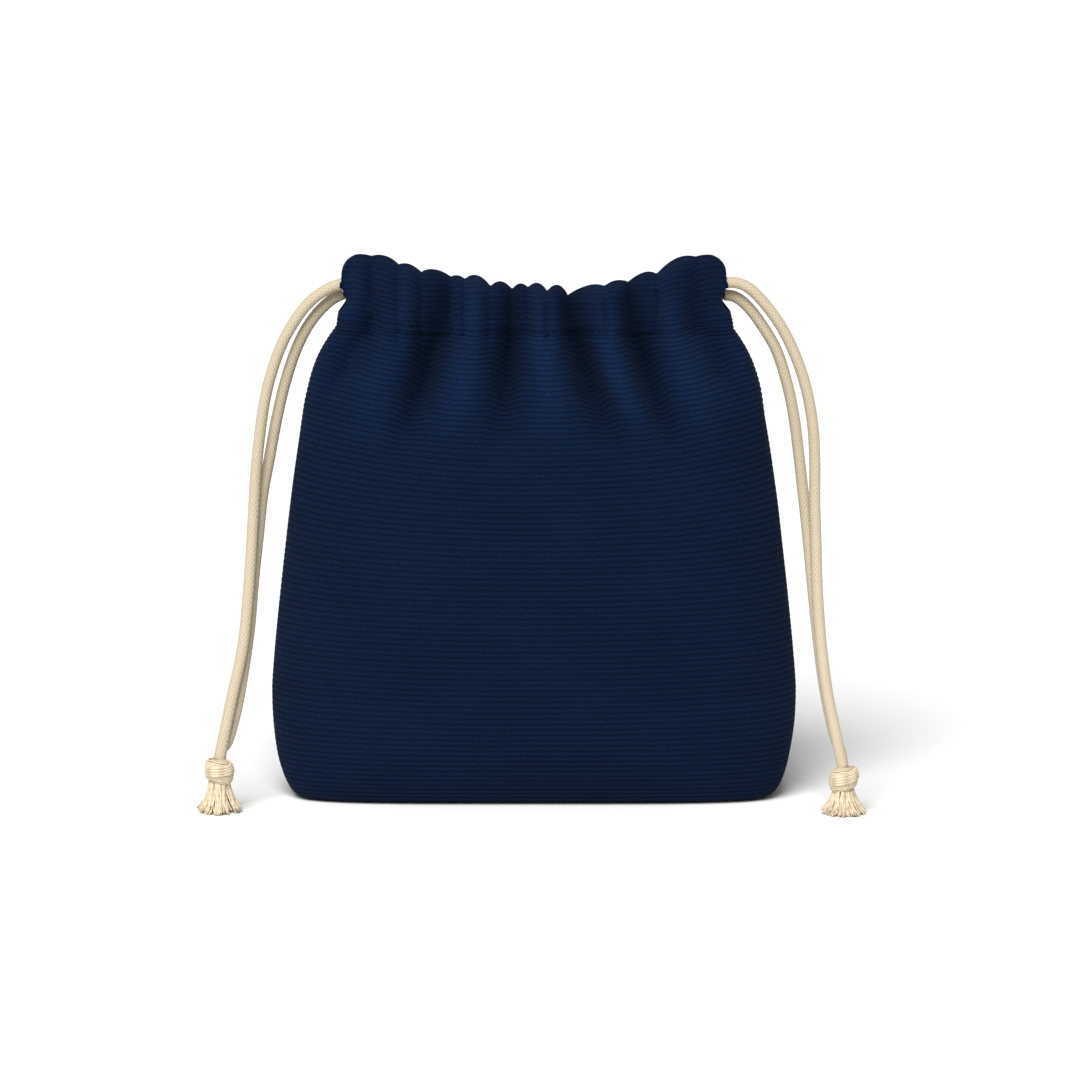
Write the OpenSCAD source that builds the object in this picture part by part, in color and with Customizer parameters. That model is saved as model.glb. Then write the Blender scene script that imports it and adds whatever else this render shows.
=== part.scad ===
// Drawstring gift pouch: a puffed cotton pouch on a flat base panel, with a gathered casing
// at the mouth and two rope drawcords that leave it at its two ends.
// Millimetres. X runs across the front, Y from front to back and Z up from the base.
// The origin is the middle of the base, on the surface that the pouch stands on.

/* [Pouch] */
// Widest width of the filled pouch
pouch_w = 226; // [188:2:272]
// Front-to-back depth of the filled pouch where it is fullest
pouch_d = 90; // [70:2:110]
// Height of the gathered rim at the middle of the mouth
rim_h = 217.5; // [178:0.5:264]
// Height at which the pouch is widest
belly_h = 46; // [30:1:70]
// Width of the flat base between its side edges
base_w = 202; // [168:2:218]
// Depth of the flat base between its front and back edges
base_d = 56; // [40:2:68]
// Thickness of the ribbed cotton
fabric_t = 1; // [0.6:0.1:1.6]
// Width of the seam allowances left inside
allowance_w = 7; // [4:1:12]

/* [Mouth] */
// Width of the gathered mouth between the two cord exits
mouth_w = 160; // [132:2:194]
// Gap between the gathered front and back edges
mouth_gap = 6; // [5:0.5:14]
// Rise of the rim from its middle up to the ear at each end
ear_rise = 14.5; // [12:0.5:18]
// Reach of each ear past the cord exit
ear_reach = 2.5; // [1:0.5:5]
// Rise of the casing's foot from its middle up to each end
foot_rise = 6; // [4:0.5:7]
// Room between the upper cord and the rim
rim_room = 2.5; // [0.5:0.5:4]
// Band left for the stitching under the lower cord
stitch_margin = 1.1; // [0.8:0.1:3]

/* [Drawcords] */
// Diameter of the cotton rope
cord_d = 5; // [4:0.5:6.5]
// Room left round each cord inside the casing
cord_room = 0.3; // [0.2:0.1:1]
// Width of each knot
knot_w = 12.5; // [11:0.5:16]
// Height of each knot
knot_h = 11.5; // [9:0.5:16]
// Width of each frayed end where it meets the table
tassel_w = 20.5; // [14:0.5:26]

/* [Stitching] */
// Thickness of the sewing thread
thread_d = 0.5; // [0.3:0.1:0.8]
// Length of one stitch
stitch_l = 2.8; // [2:0.2:4]
// Distance from one stitch to the next
stitch_pitch = 4; // [3:0.5:6]

/* [Hidden] */
$fn = 48;

navy = "#12305e";
thread_navy = "#0b2144";
cream = "#e3d5b6";

// Casing: two cords lie one above the other between the layers of the hem
casing_depth = cord_d + 2 * cord_room + 2 * fabric_t;
casing_h = rim_room + 2 * (cord_d + fabric_t) + 3 * cord_room + stitch_margin;
panel_h = rim_h - casing_h;
collar_d = mouth_gap + 2 * casing_depth;
ear_x = mouth_w / 2 + ear_reach;
ear_round = 8;
ear_drop = 6;
// Gap between the top of each panel and the foot of its casing
seam_gap = 0.55;
ear_inner_x = mouth_w / 2 - 14;

// Lanes that the cords keep inside the casing
lane_y = mouth_gap / 2 + fabric_t + cord_room + cord_d / 2;
upper_lane_z = rim_h - rim_room - fabric_t - cord_room - cord_d / 2;
lower_lane_z = upper_lane_z - cord_d - 2 * cord_room;
bend_x = ear_inner_x + 1;
raised_bend_z = rim_h + ear_rise - fabric_t - 1.5 * cord_d;
exit_y = (cord_d + cord_room) / 2;

// Grid of the panels and sides of a cord
panel_rows = 18;
panel_columns = 26;
cord_sides = 8;

// Sizes that the cord routes below are drawn for. beside() moves a route with the pouch.
drawn_pouch_w = 226;
drawn_mouth_w = 160;
drawn_rim_h = 217.5;
drawn_ear_rise = 14.5;
drawn_cord_d = 5;
drawn_exit_z = 222;
hanging_z = 22;

// Free stretches of the cords, from the exit at the ear down to the knot
left_front_route = [for (p = [
    [-81.7, -3, 221.5], [-87, -3, 220], [-94, -3, 215.5], [-100, -3, 209], [-107, -3, 197.5],
    [-112, -3, 184.5], [-115.5, -3, 170.5], [-118, -3.5, 153], [-119.5, -4.5, 137],
    [-120.5, -7, 120], [-121.5, -11.5, 103], [-123, -18, 83], [-125, -25, 66],
    [-129, -33, 48], [-132, -39, 34], [-134.5, -44, 22]
]) beside(p)];
left_back_route = [for (p = [
    [-81.7, 2.7, 216.5], [-86.5, 2.7, 214], [-92, 2.5, 209], [-97.5, 2.5, 201.5], [-102.5, 2.5, 191],
    [-107, 2.5, 177], [-110.5, 2.5, 162], [-113.5, 2, 146], [-116.5, 0.5, 130],
    [-118.5, -3, 112], [-120.5, -8.5, 93], [-122, -15, 75], [-124.5, -23, 57],
    [-127.5, -30, 41], [-131, -36, 29], [-134, -39.5, 21.5]
]) beside(p)];
right_front_route = [for (p = [
    [81.7, -3, 222], [87, -3, 222], [93, -3, 219], [100, -3, 211.5], [106.5, -3, 202],
    [112, -3, 190.5], [116.5, -3, 177], [119.5, -3, 161], [120.5, -3.5, 145],
    [120.5, -5.5, 128], [121, -9, 111], [121.5, -15.5, 91], [123, -25, 69],
    [125.5, -34.5, 49.5], [129, -43, 33], [132, -49, 19.5]
]) beside(p)];
right_back_route = [for (p = [
    [81.7, 2.5, 216], [86.5, 2.5, 215], [92, 2.5, 210.5], [98, 2.5, 202.5], [104, 2.5, 192],
    [108.5, 2.5, 178], [111.5, 2.5, 164], [113.5, 2.5, 149], [115.5, 1, 132],
    [117.5, -2.5, 114], [119.5, -9, 93], [122, -18.5, 69], [124.5, -28, 50.5],
    [128, -36.5, 34], [131.5, -43.5, 19.5]
]) beside(p)];

// Where each knot stands: its axis in X and Y and the height of its underside
left_knot_at = beside([-134.5, -46, 12]);
right_knot_at = beside([132, -50.5, 9.5]);

// ---- Shape of the cloth ----

function lerp(a, b, t) = a + (b - a) * t;
function share(t) = max(0, min(1, t));

// Swelling from the base, 0, to the belly, 1
function lower_swell(z) = pow(1 - pow(1 - share(z / belly_h), 2.2), 0.6);
// Height between the belly, 0, and the casing, 1
function upper_share(z) = share((z - belly_h) / (panel_h - belly_h));

// Widening from the casing, 0, down to the belly, 1
function widening(z) = (1 - 0.57 * pow(upper_share(z), 1.2)) * (1 - pow(upper_share(z), 9.5));

function half_width(z) = z < belly_h
    ? lerp(base_w, pouch_w, lower_swell(z)) / 2
    : lerp(mouth_w, pouch_w, widening(z)) / 2;

function half_depth(z) = z < belly_h
    ? lerp(base_d, pouch_d, lower_swell(z)) / 2
    : lerp(collar_d, pouch_d, 1 - pow(upper_share(z), 3.2)) / 2;

// 2 is an ellipse, and a larger number is a squarer outline
function squareness(z) = z < belly_h
    ? lerp(5, 2.2, pow(z / belly_h, 0.6))
    : lerp(2.2, 8, pow(upper_share(z), 6));

// A point on the level outline at height z, moved in by inset
function outline_point(z, angle, inset) = let(
    power = 2 / squareness(z),
    across = cos(angle),
    along = sin(angle)
) [
    (half_width(z) - inset) * sign(across) * pow(abs(across), power),
    (half_depth(z) - inset) * sign(along) * pow(abs(along), power)
];

// A point of a cord, at the same distance from the cloth beside it whatever the sizes are
function beside(p) = let(
    up = share((p.z - hanging_z) / (drawn_exit_z - hanging_z)),
    raised = rim_h - drawn_rim_h + ear_rise - drawn_ear_rise - 1.5 * (cord_d - drawn_cord_d),
    z = p.z + up * raised,
    widened = lerp(mouth_w - drawn_mouth_w, pouch_w - drawn_pouch_w, widening(z)),
    outwards = (widened + cord_d - drawn_cord_d) / 2
) [p.x + sign(p.x) * outwards, p.y * cord_d / drawn_cord_d, z];

function foot_lift(x) = foot_rise * pow(abs(x) / (mouth_w / 2), 3);

function outline(z, inset) = [
    for (i = [0:2 * panel_columns - 1]) outline_point(z, 180 * i / panel_columns, inset)
];

// Rows lie closer together near the base, where the cloth turns up
function row_height(row) = panel_h * pow(row / panel_rows, 1.35);

// The top rows lift towards the side seams, as the casing's foot does
function panel_grid(inset) = [
    for (row = [0:panel_rows]) [
        for (column = [0:panel_columns]) let(
            z = row_height(row),
            at_seam = column == 0 || column == panel_columns,
            p = outline_point(z, 180 + 180 * column / panel_columns, inset)
        ) [p.x, at_seam ? 0 : p.y, z + foot_lift(p.x) * pow(z / panel_h, 8)]
    ]
];

// ---- Closed meshes ----

function quad(a, b, c, d) = [[a, b, c], [a, c, d]];

// A sheet with thickness between two grids of points that have the same rows and columns
module sheet_between(outer, inner) {
    rows = len(outer);
    columns = len(outer[0]);
    function at(side, row, column) = (side * rows + row) * columns + column;
    polyhedron(
        points = [for (grid = [outer, inner]) for (row = grid) each row],
        faces = [
            for (r = [0:rows - 2], c = [0:columns - 2]) each quad(
                at(0, r, c), at(0, r + 1, c), at(0, r + 1, c + 1), at(0, r, c + 1)
            ),
            for (r = [0:rows - 2], c = [0:columns - 2]) each quad(
                at(1, r, c), at(1, r, c + 1), at(1, r + 1, c + 1), at(1, r + 1, c)
            ),
            for (c = [0:columns - 2]) each quad(
                at(0, 0, c), at(0, 0, c + 1), at(1, 0, c + 1), at(1, 0, c)
            ),
            for (c = [0:columns - 2]) each quad(
                at(0, rows - 1, c), at(1, rows - 1, c),
                at(1, rows - 1, c + 1), at(0, rows - 1, c + 1)
            ),
            for (r = [0:rows - 2]) each quad(
                at(0, r, 0), at(1, r, 0), at(1, r + 1, 0), at(0, r + 1, 0)
            ),
            for (r = [0:rows - 2]) each quad(
                at(0, r, columns - 1), at(0, r + 1, columns - 1),
                at(1, r + 1, columns - 1), at(1, r, columns - 1)
            )
        ],
        convexity = 6
    );
}

// A closed solid through rings that have the same number of points
module loft(rings) {
    sides = len(rings[0]);
    last = len(rings) - 1;
    polyhedron(
        points = [for (ring = rings) each ring],
        faces = [
            [for (k = [0:sides - 1]) k],
            [for (k = [sides - 1:-1:0]) last * sides + k],
            for (i = [0:last - 1], k = [0:sides - 1]) let(next = (k + 1) % sides) each quad(
                i * sides + k, (i + 1) * sides + k, (i + 1) * sides + next, i * sides + next
            )
        ],
        convexity = 6
    );
}

function unit(v) = v / norm(v);
function heading(path, i) = unit(path[min(i + 1, len(path) - 1)] - path[max(i - 1, 0)]);

function ring_about(centre, ahead, up) = let(
    a = unit(cross(up, ahead)),
    b = cross(ahead, a)
) [
    for (k = [0:cord_sides - 1]) let(turn = 360 * k / cord_sides)
        centre + cord_d / 2 * (cos(turn) * a + sin(turn) * b)
];

// A rope along a path that never runs parallel to up
module rope(path, up) {
    color(cream) loft([for (i = [0:len(path) - 1]) ring_about(path[i], heading(path, i), up)]);
}

// ---- Base, panels and seams ----

module base_panel() {
    color(navy) linear_extrude(fabric_t) polygon(outline(0, fabric_t));
}

module base_seam() {
    color(thread_navy) translate([0, 0, fabric_t]) linear_extrude(2 * fabric_t) difference() {
        polygon(outline(0, fabric_t));
        polygon(outline(0, fabric_t + allowance_w));
    }
}

module front_panel() {
    color(navy) sheet_between(panel_grid(0), panel_grid(fabric_t));
}

module back_panel() {
    mirror([0, 1, 0]) front_panel();
}

// The overlocked edges of front and back, which stand in from the side seam
module side_seam() {
    first_row = 2;
    color(thread_navy) loft([
        for (row = [first_row:panel_rows]) let(
            z = row_height(row),
            outer = half_width(z) - fabric_t - 0.1,
            inner = outer - allowance_w
        ) [
            [inner, -fabric_t, z],
            [outer, -fabric_t, z],
            [outer, fabric_t, z],
            [inner, fabric_t, z]
        ]
    ]);
}

module right_side_seam() {
    side_seam();
}

module left_side_seam() {
    mirror([1, 0, 0]) side_seam();
}

// ---- Casing ----

function past_ear_round(x) = share((abs(x) - (ear_x - ear_round)) / ear_round);

function rim_z(x) = rim_h + ear_rise * min(1, pow(abs(x) / (ear_x - ear_round), 1.3))
    - ear_drop * (1 - sqrt(1 - pow(past_ear_round(x), 2)));
function foot_z(x) = panel_h + seam_gap + foot_lift(min(abs(x), mouth_w / 2));
// Half depth of the casing: at its foot it meets the panel, and above that it bulges
function foot_y(x) = collar_d / 2 * pow(1 - pow(min(abs(x) / (ear_x + 0.5), 1), 8), 1 / 8);
function collar_y(x) = collar_d / 2 - 0.3 * pow(past_ear_round(x), 2);

// The hem's section at x: up the outside, over the rim and down inside. In an ear the fold
// runs to the middle plane, where it meets the other half, and the inside layer is cut away.
function hem_section(x, inset) = let(
    outer_y = collar_y(x) - inset,
    top_z = rim_z(x) - inset,
    in_ear = abs(x) > ear_inner_x,
    fold_r = casing_depth / 2 - inset,
    fold_y = in_ear ? 0 : collar_y(x) - casing_depth / 2,
    fold_across = in_ear ? outer_y : fold_r,
    fold_up = in_ear ? ear_round - 1 - inset : fold_r,
    fold_turn = in_ear ? 75 : 180,
    steps = 6
) [
    [x, inset - foot_y(x), foot_z(x)],
    [x, -outer_y, foot_z(x) + 2.5],
    for (i = [0:steps]) let(turn = fold_turn * i / steps)
        [x, -fold_y - fold_across * cos(turn), top_z - fold_up * (1 - sin(turn))],
    in_ear
        ? [x, 0, top_z]
        : [x, -fold_y + fold_r, foot_z(x) + stitch_margin]
];

casing_stations = [
    for (side = [-1, 1]) for (i = [0:11]) let(
        inner = ear_inner_x * i / 8,
        outer = ear_inner_x + 1 + (ear_x - ear_inner_x - 1) * (i - 9) / 2
    ) if (side > 0 || i > 0) side * (i < 9 ? inner : outer)
];

function in_order(list) = len(list) < 2 ? list : concat(
    in_order([for (v = list) if (v < list[0]) v]),
    [list[0]],
    in_order([for (v = list) if (v > list[0]) v])
);

module front_casing() {
    stations = in_order(casing_stations);
    color(navy) sheet_between(
        [for (x = stations) hem_section(x, 0)],
        [for (x = stations) hem_section(x, fabric_t)]
    );
}

module back_casing() {
    mirror([0, 1, 0]) front_casing();
}

module casing_stitches() {
    count = floor((ear_inner_x - 6) / stitch_pitch);
    color(thread_navy) for (i = [-count:count]) {
        x = i * stitch_pitch;
        translate([x - stitch_l / 2, -collar_y(x) - thread_d / 2 - 0.05, foot_z(x) + stitch_margin])
            rotate([0, 90, 0]) cylinder(d = thread_d, h = stitch_l);
    }
}

module front_casing_stitching() {
    casing_stitches();
}

module back_casing_stitching() {
    mirror([0, 1, 0]) casing_stitches();
}

// Dense stitches that join front and back above and below each cord exit
module upper_bartack() {
    color(thread_navy) translate([ear_x - ear_round - 2, -3, rim_z(ear_x - ear_round) + 0.1])
        cube([2.5, 6, 0.8]);
}

module lower_bartack() {
    color(thread_navy) translate([mouth_w / 2 - 2.5, -3, foot_z(mouth_w / 2) + 0.3])
        cube([2.5, 6, 0.8]);
}

module right_upper_bartack() {
    upper_bartack();
}

module right_lower_bartack() {
    lower_bartack();
}

module left_upper_bartack() {
    mirror([1, 0, 0]) upper_bartack();
}

module left_lower_bartack() {
    mirror([1, 0, 0]) lower_bartack();
}

// ---- Drawcords ----

// The smile of the casing that both lanes follow towards the right ear
function lane_rise(x) = (raised_bend_z - upper_lane_z) * pow(max(0, x) / bend_x, 2.2);

// Half of the left cord's way inside the casing: from its exit at the left ear, along the
// upper lane of one hem, up to the start of its bend in the right ear
function left_lane(side, exit_z) = concat(
    [
        [-mouth_w / 2, side * exit_y, exit_z],
        [-mouth_w / 2 + 6, side * lerp(exit_y, lane_y, 0.35), lerp(upper_lane_z, exit_z, 0.7)],
        [-mouth_w / 2 + 14, side * lane_y, lerp(upper_lane_z, exit_z, 0.2)],
        [-mouth_w / 2 + 22, side * lane_y, upper_lane_z]
    ],
    [for (i = [0:4]) let(x = bend_x * i / 5) [x, side * lane_y, upper_lane_z + lane_rise(x)]]
);

// Half of the right cord's way, along the lower lane to its bend in the left ear
function lower_lane(x) = lower_lane_z + 0.9 * lane_rise(x);
function right_lane(side, exit_z) = concat(
    [
        [mouth_w / 2, side * exit_y, exit_z],
        [mouth_w / 2 - 6, side * lerp(exit_y, lane_y, 0.6), lerp(lower_lane(bend_x), exit_z, 0.25)]
    ],
    [for (i = [5:-1:0]) let(x = bend_x * i / 5) [x, side * lane_y, lower_lane(x)]],
    [[14 - bend_x, side * lane_y, lower_lane_z]]
);

// The turn from the front hem to the back hem, inside an ear
function ear_bend(x, z) = [
    for (turn = [-90:30:90]) [x + sign(x) * lane_y * cos(turn), lane_y * sin(turn), z]
];

function reversed(list) = [for (i = [len(list) - 1:-1:0]) list[i]];

module left_cord_loop() {
    rope(concat(
        left_lane(-1, left_front_route[0].z),
        ear_bend(bend_x, raised_bend_z),
        reversed(left_lane(1, left_back_route[0].z))
    ), [0, 0, 1]);
}

module right_cord_loop() {
    rope(concat(
        right_lane(-1, right_front_route[0].z),
        ear_bend(-bend_x, lower_lane_z),
        reversed(right_lane(1, right_back_route[0].z))
    ), [0, 0, 1]);
}

module left_front_tail() {
    rope(left_front_route, [0, 1, 0]);
}

module left_back_tail() {
    rope(left_back_route, [0, 1, 0]);
}

module right_front_tail() {
    rope(right_front_route, [0, 1, 0]);
}

module right_back_tail() {
    rope(right_back_route, [0, 1, 0]);
}

// Four turns of rope round both strands, fullest in the middle
module knot(at) {
    turns = 4;
    turn_d = knot_h / (turns - 0.6);
    color(cream) translate(at) rotate_extrude() union() {
        square([knot_w / 2 - turn_d / 2, knot_h]);
        for (i = [0:turns - 1]) {
            from_middle = abs(i - (turns - 1) / 2);
            translate([
                knot_w / 2 - turn_d / 2 - (from_middle > 1 ? 0.7 : 0),
                turn_d / 2 + i * (knot_h - turn_d) / (turns - 1)
            ]) circle(d = turn_d);
        }
    }
}

module left_knot() {
    knot(left_knot_at);
}

module right_knot() {
    knot(right_knot_at);
}

// The frayed strands under a knot, spread where they meet the table
module tassel(at) {
    neck = 0.72 * knot_w;
    color(cream) translate([at.x, at.y, 0]) cylinder(d1 = tassel_w, d2 = neck, h = at.z);
}

module left_tassel() {
    tassel(left_knot_at);
}

module right_tassel() {
    tassel(right_knot_at);
}

base_panel();
base_seam();
front_panel();
back_panel();
left_side_seam();
right_side_seam();
front_casing();
back_casing();
front_casing_stitching();
back_casing_stitching();
left_upper_bartack();
left_lower_bartack();
right_upper_bartack();
right_lower_bartack();
left_cord_loop();
right_cord_loop();
left_front_tail();
left_back_tail();
left_knot();
left_tassel();
right_front_tail();
right_back_tail();
right_knot();
right_tassel();
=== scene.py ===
"""Drawstring gift pouch: gathered rib-woven cloth, rope drawcords, wrapped knots, frayed ends.

Shapes are worked out in millimetres, as in the part's source, and are made in metres.
X runs across the front, Y from front to back and Z up from the surface that it stands on."""

import math
import random
from collections import namedtuple

import bmesh
import bpy
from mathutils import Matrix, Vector, noise
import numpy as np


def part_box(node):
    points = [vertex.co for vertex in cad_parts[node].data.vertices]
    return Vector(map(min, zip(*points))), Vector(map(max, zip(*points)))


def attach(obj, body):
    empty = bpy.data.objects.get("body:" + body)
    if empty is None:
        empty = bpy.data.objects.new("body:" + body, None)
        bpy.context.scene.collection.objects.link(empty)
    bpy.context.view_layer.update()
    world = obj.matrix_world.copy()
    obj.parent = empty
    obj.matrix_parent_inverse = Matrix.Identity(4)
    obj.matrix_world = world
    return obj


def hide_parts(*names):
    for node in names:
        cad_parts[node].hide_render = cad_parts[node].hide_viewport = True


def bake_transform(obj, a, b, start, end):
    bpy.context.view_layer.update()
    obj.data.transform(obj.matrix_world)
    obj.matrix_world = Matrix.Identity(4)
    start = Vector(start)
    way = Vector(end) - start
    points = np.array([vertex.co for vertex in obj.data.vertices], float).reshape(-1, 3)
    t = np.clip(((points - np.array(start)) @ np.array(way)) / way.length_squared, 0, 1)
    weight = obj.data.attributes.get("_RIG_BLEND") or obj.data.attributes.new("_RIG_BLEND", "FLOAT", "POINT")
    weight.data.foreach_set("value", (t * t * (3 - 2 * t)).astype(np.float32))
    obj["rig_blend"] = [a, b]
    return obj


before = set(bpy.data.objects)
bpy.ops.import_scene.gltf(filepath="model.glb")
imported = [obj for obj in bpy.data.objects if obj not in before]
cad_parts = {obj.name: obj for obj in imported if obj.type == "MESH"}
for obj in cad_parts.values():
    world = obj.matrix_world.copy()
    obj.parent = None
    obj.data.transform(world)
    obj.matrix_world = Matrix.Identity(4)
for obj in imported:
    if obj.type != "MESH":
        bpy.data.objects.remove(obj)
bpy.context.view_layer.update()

bl_info = {
    "name": "Drawstring gift pouch",
    "version": (1, 0, 0),
    "blender": (4, 5, 0),
    "location": "3D View > Sidebar > Pouch",
    "description": "Makes a gathered cloth pouch with two rope drawcords",
    "category": "Add Mesh",
}

MM = 0.001

# ---- Driving sizes, as in the part's source, in millimetres ----

PANEL_BOX = [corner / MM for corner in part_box("front_panel")]
POUCH_W = PANEL_BOX[1].x - PANEL_BOX[0].x
POUCH_D = -2 * PANEL_BOX[0].y
BASE_W = 202
BASE_D = 56
BELLY_H = 46
PANEL_H = 201
RIM_H = 217.5
MOUTH_W = 160
COLLAR_D = 21.2
FOOT_RISE = 6
LANE_Y = 6.8
UPPER_LANE_Z = 211.2
LOWER_LANE_Z = 205.6
RAISED_BEND_Z = 223.5
BEND_X = 67
EXIT_Y = 2.65
HEM_LAYER_Y = 3
EAR_X = 82.5
EAR_TOP_X = 75
EAR_DROP = 8.5
BASE_ROUND = 3.5

# ---- Sizes of the cloth that the part's plain solids leave out, in millimetres ----

# The neck under the ears, where the cloth is narrowest
NECK_Z = 210
NECK_W = 158
# Height of the middle of the eye in each ear that the cords leave through
EYE_Z = 219
# How much lower the back rim is than the front one in the middle
BACK_RIM_DROP = 1.6
# Width that each panel and casing is cut to, and the width of each seam allowance
FLAT_W = 255
SEAM_ALLOWANCE = 7
# Height where the cloth begins to follow the drawcords
DRAW_START_Z = 120
# How far out and down from its exit a tail bends when it swings
TAIL_BEND_X, TAIL_BEND_Z = 32, -36

# Columns in the grid of each panel, and rows in each of its ribs
COLUMNS = 124
ROWS_PER_RIB = 4

# Free stretches of the cords, from the exit at the ear down to the knot
LEFT_FRONT_ROUTE = [
    (-81.7, -3, 221.5), (-87, -3, 220), (-94, -3, 215.5), (-100, -3, 209), (-107, -3, 197.5),
    (-112, -3, 184.5), (-115.5, -3, 170.5), (-118, -3.5, 153), (-119.5, -4.5, 137),
    (-120.5, -7, 120), (-121.5, -11.5, 103), (-123, -18, 83), (-125, -25, 66),
    (-129, -33, 48), (-132, -39, 34), (-134.5, -44, 22),
]
LEFT_BACK_ROUTE = [
    (-81.7, 2.7, 216.5), (-86.5, 2.7, 214), (-92, 2.5, 209), (-97.5, 2.5, 201.5),
    (-102.5, 2.5, 191), (-107, 2.5, 177), (-110.5, 2.5, 162), (-113.5, 2, 146),
    (-116.5, 0.5, 130), (-118.5, -3, 112), (-120.5, -8.5, 93), (-122, -15, 75),
    (-124.5, -23, 57), (-127.5, -30, 41), (-131, -36, 29), (-133.4, -39, 26), (-134.2, -44, 20.5),
]
RIGHT_FRONT_ROUTE = [
    (81.7, -3, 222), (87, -3, 222), (93, -3, 219), (100, -3, 211.5), (106.5, -3, 202),
    (112, -3, 190.5), (116.5, -3, 177), (119.5, -3, 161), (120.5, -3.5, 145),
    (120.5, -5.5, 128), (121, -9, 111), (121.5, -15.5, 91), (123, -25, 69),
    (125.5, -34.5, 49.5), (129, -43, 33), (132, -49, 19.5),
]
RIGHT_BACK_ROUTE = [
    (81.7, 2.5, 216), (86.5, 2.5, 215), (92, 2.5, 210.5), (98, 2.5, 202.5), (104, 2.5, 192),
    (108.5, 2.5, 178), (111.5, 2.5, 164), (113.5, 2.5, 149), (115.5, 1, 132),
    (117.5, -2.5, 114), (119.5, -9, 93), (122, -18.5, 69), (124.5, -28, 50.5),
    (128, -36.5, 34), (131, -44, 25), (131.8, -49, 18.5),
]

# Axis of each knot in X and Y, and the height of its underside
KNOTS = {"left": Vector((-134.5, -46, 12)), "right": Vector((132, -50.5, 9.5))}
KNOT_W = 12.5
KNOT_H = 11.5
TASSEL_W = 20.5

# The deep valleys below the casing, from left to right: where each lies across the pouch at
# the rim, halfway down and where it fades, the height where it fades, its depth, and how far
# the ridge to its right stands out.
Valley = namedtuple("Valley", "rim_x middle_x low_x low_z depth ridge")
VALLEYS = [Valley(*row) for row in (
    (-92, -98, -106, 170, 0, 1.5),
    (-69.5, -76, -88, 176, 3.5, 3.8),
    (-40, -44, -64, 146, 7, 6),
    (-9.7, -10.5, -16, 148, 6.5, 6.5),
    (15.3, 20, 41, 148, 7.5, 6),
    (41.5, 45, 68, 146, 7, 4.5),
    (69, 76, 88, 176, 3.5, 1.5),
    (92, 98, 106, 170, 0, 0),
)]
# Heights where the valleys reach their full depth and where the ridges have run out
VALLEYS_START_Z = 190
RIDGES_END_Z = 146

# The small puckers of the rim, from left to right: where the creases between them are, the
# height of the rim at each crease, and its height on the pucker to the right.
Crease = namedtuple("Crease", "x z crest_z")
PUCKERS = [Crease(*row) for row in (
    (-84, 233, 233.4),
    (-69.5, 232.5, 232.6),
    (-58, 229.5, 229.6),
    (-48.5, 226.8, 227.7),
    (-36, 224.7, 225.1),
    (-30, 223.4, 224.7),
    (-19.2, 220.3, 222.5),
    (-9.7, 219.4, 221.6),
    (-2.6, 219.9, 221.4),
    (6, 218.1, 220.9),
    (15.2, 216.9, 220.4),
    (31.2, 220.4, 222.9),
    (41.3, 222.5, 226.3),
    (53, 225.7, 231.6),
    (69, 232.2, 233.2),
    (85, 233, 233),
)]
# Height where the puckers have run out
PUCKERS_END_Z = 186

# A soft swelling where the ridges run out: its middle, its reach and how far it stands out
SWELLING_X, SWELLING_Z = -14, 134
SWELLING_REACH_X, SWELLING_REACH_Z = 26, 15
SWELLING_OUT = 2.6

# ---- The stage ----

AIM = Vector((2.6, 0, 109.8))
CAMERA_LENS = 310
CAMERA_DISTANCE = 4.0
CAMERA_ELEVATION = math.radians(10)
FLOOR_SIZE = 9
SOFTBOX_STRENGTH = 3.7
SOFTBOX_SPREAD = math.radians(38)
SOFTBOX_TURN = (math.radians(42), 0, math.radians(-15))
WORLD_STRENGTH = 0.28


# ---- Small sums ----


def lerp(a, b, t):
    """The value a share t of the way from a to b."""
    return a + (b - a) * t


def share(t):
    """t, kept from 0 to 1."""
    return max(0.0, min(1.0, t))


def smooth(t):
    """Rises from 0 to 1 as t does, and is level at both ends."""
    t = share(t)
    return t * t * (3 - 2 * t)


def linear(hex_colour):
    """An sRGB hex colour as linear red, green and blue."""
    parts = [int(hex_colour[i : i + 2], 16) / 255 for i in (1, 3, 5)]
    return tuple(c / 12.92 if c <= 0.04045 else ((c + 0.055) / 1.055) ** 2.4 for c in parts)


# ---- Settings that a user would change ----


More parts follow.
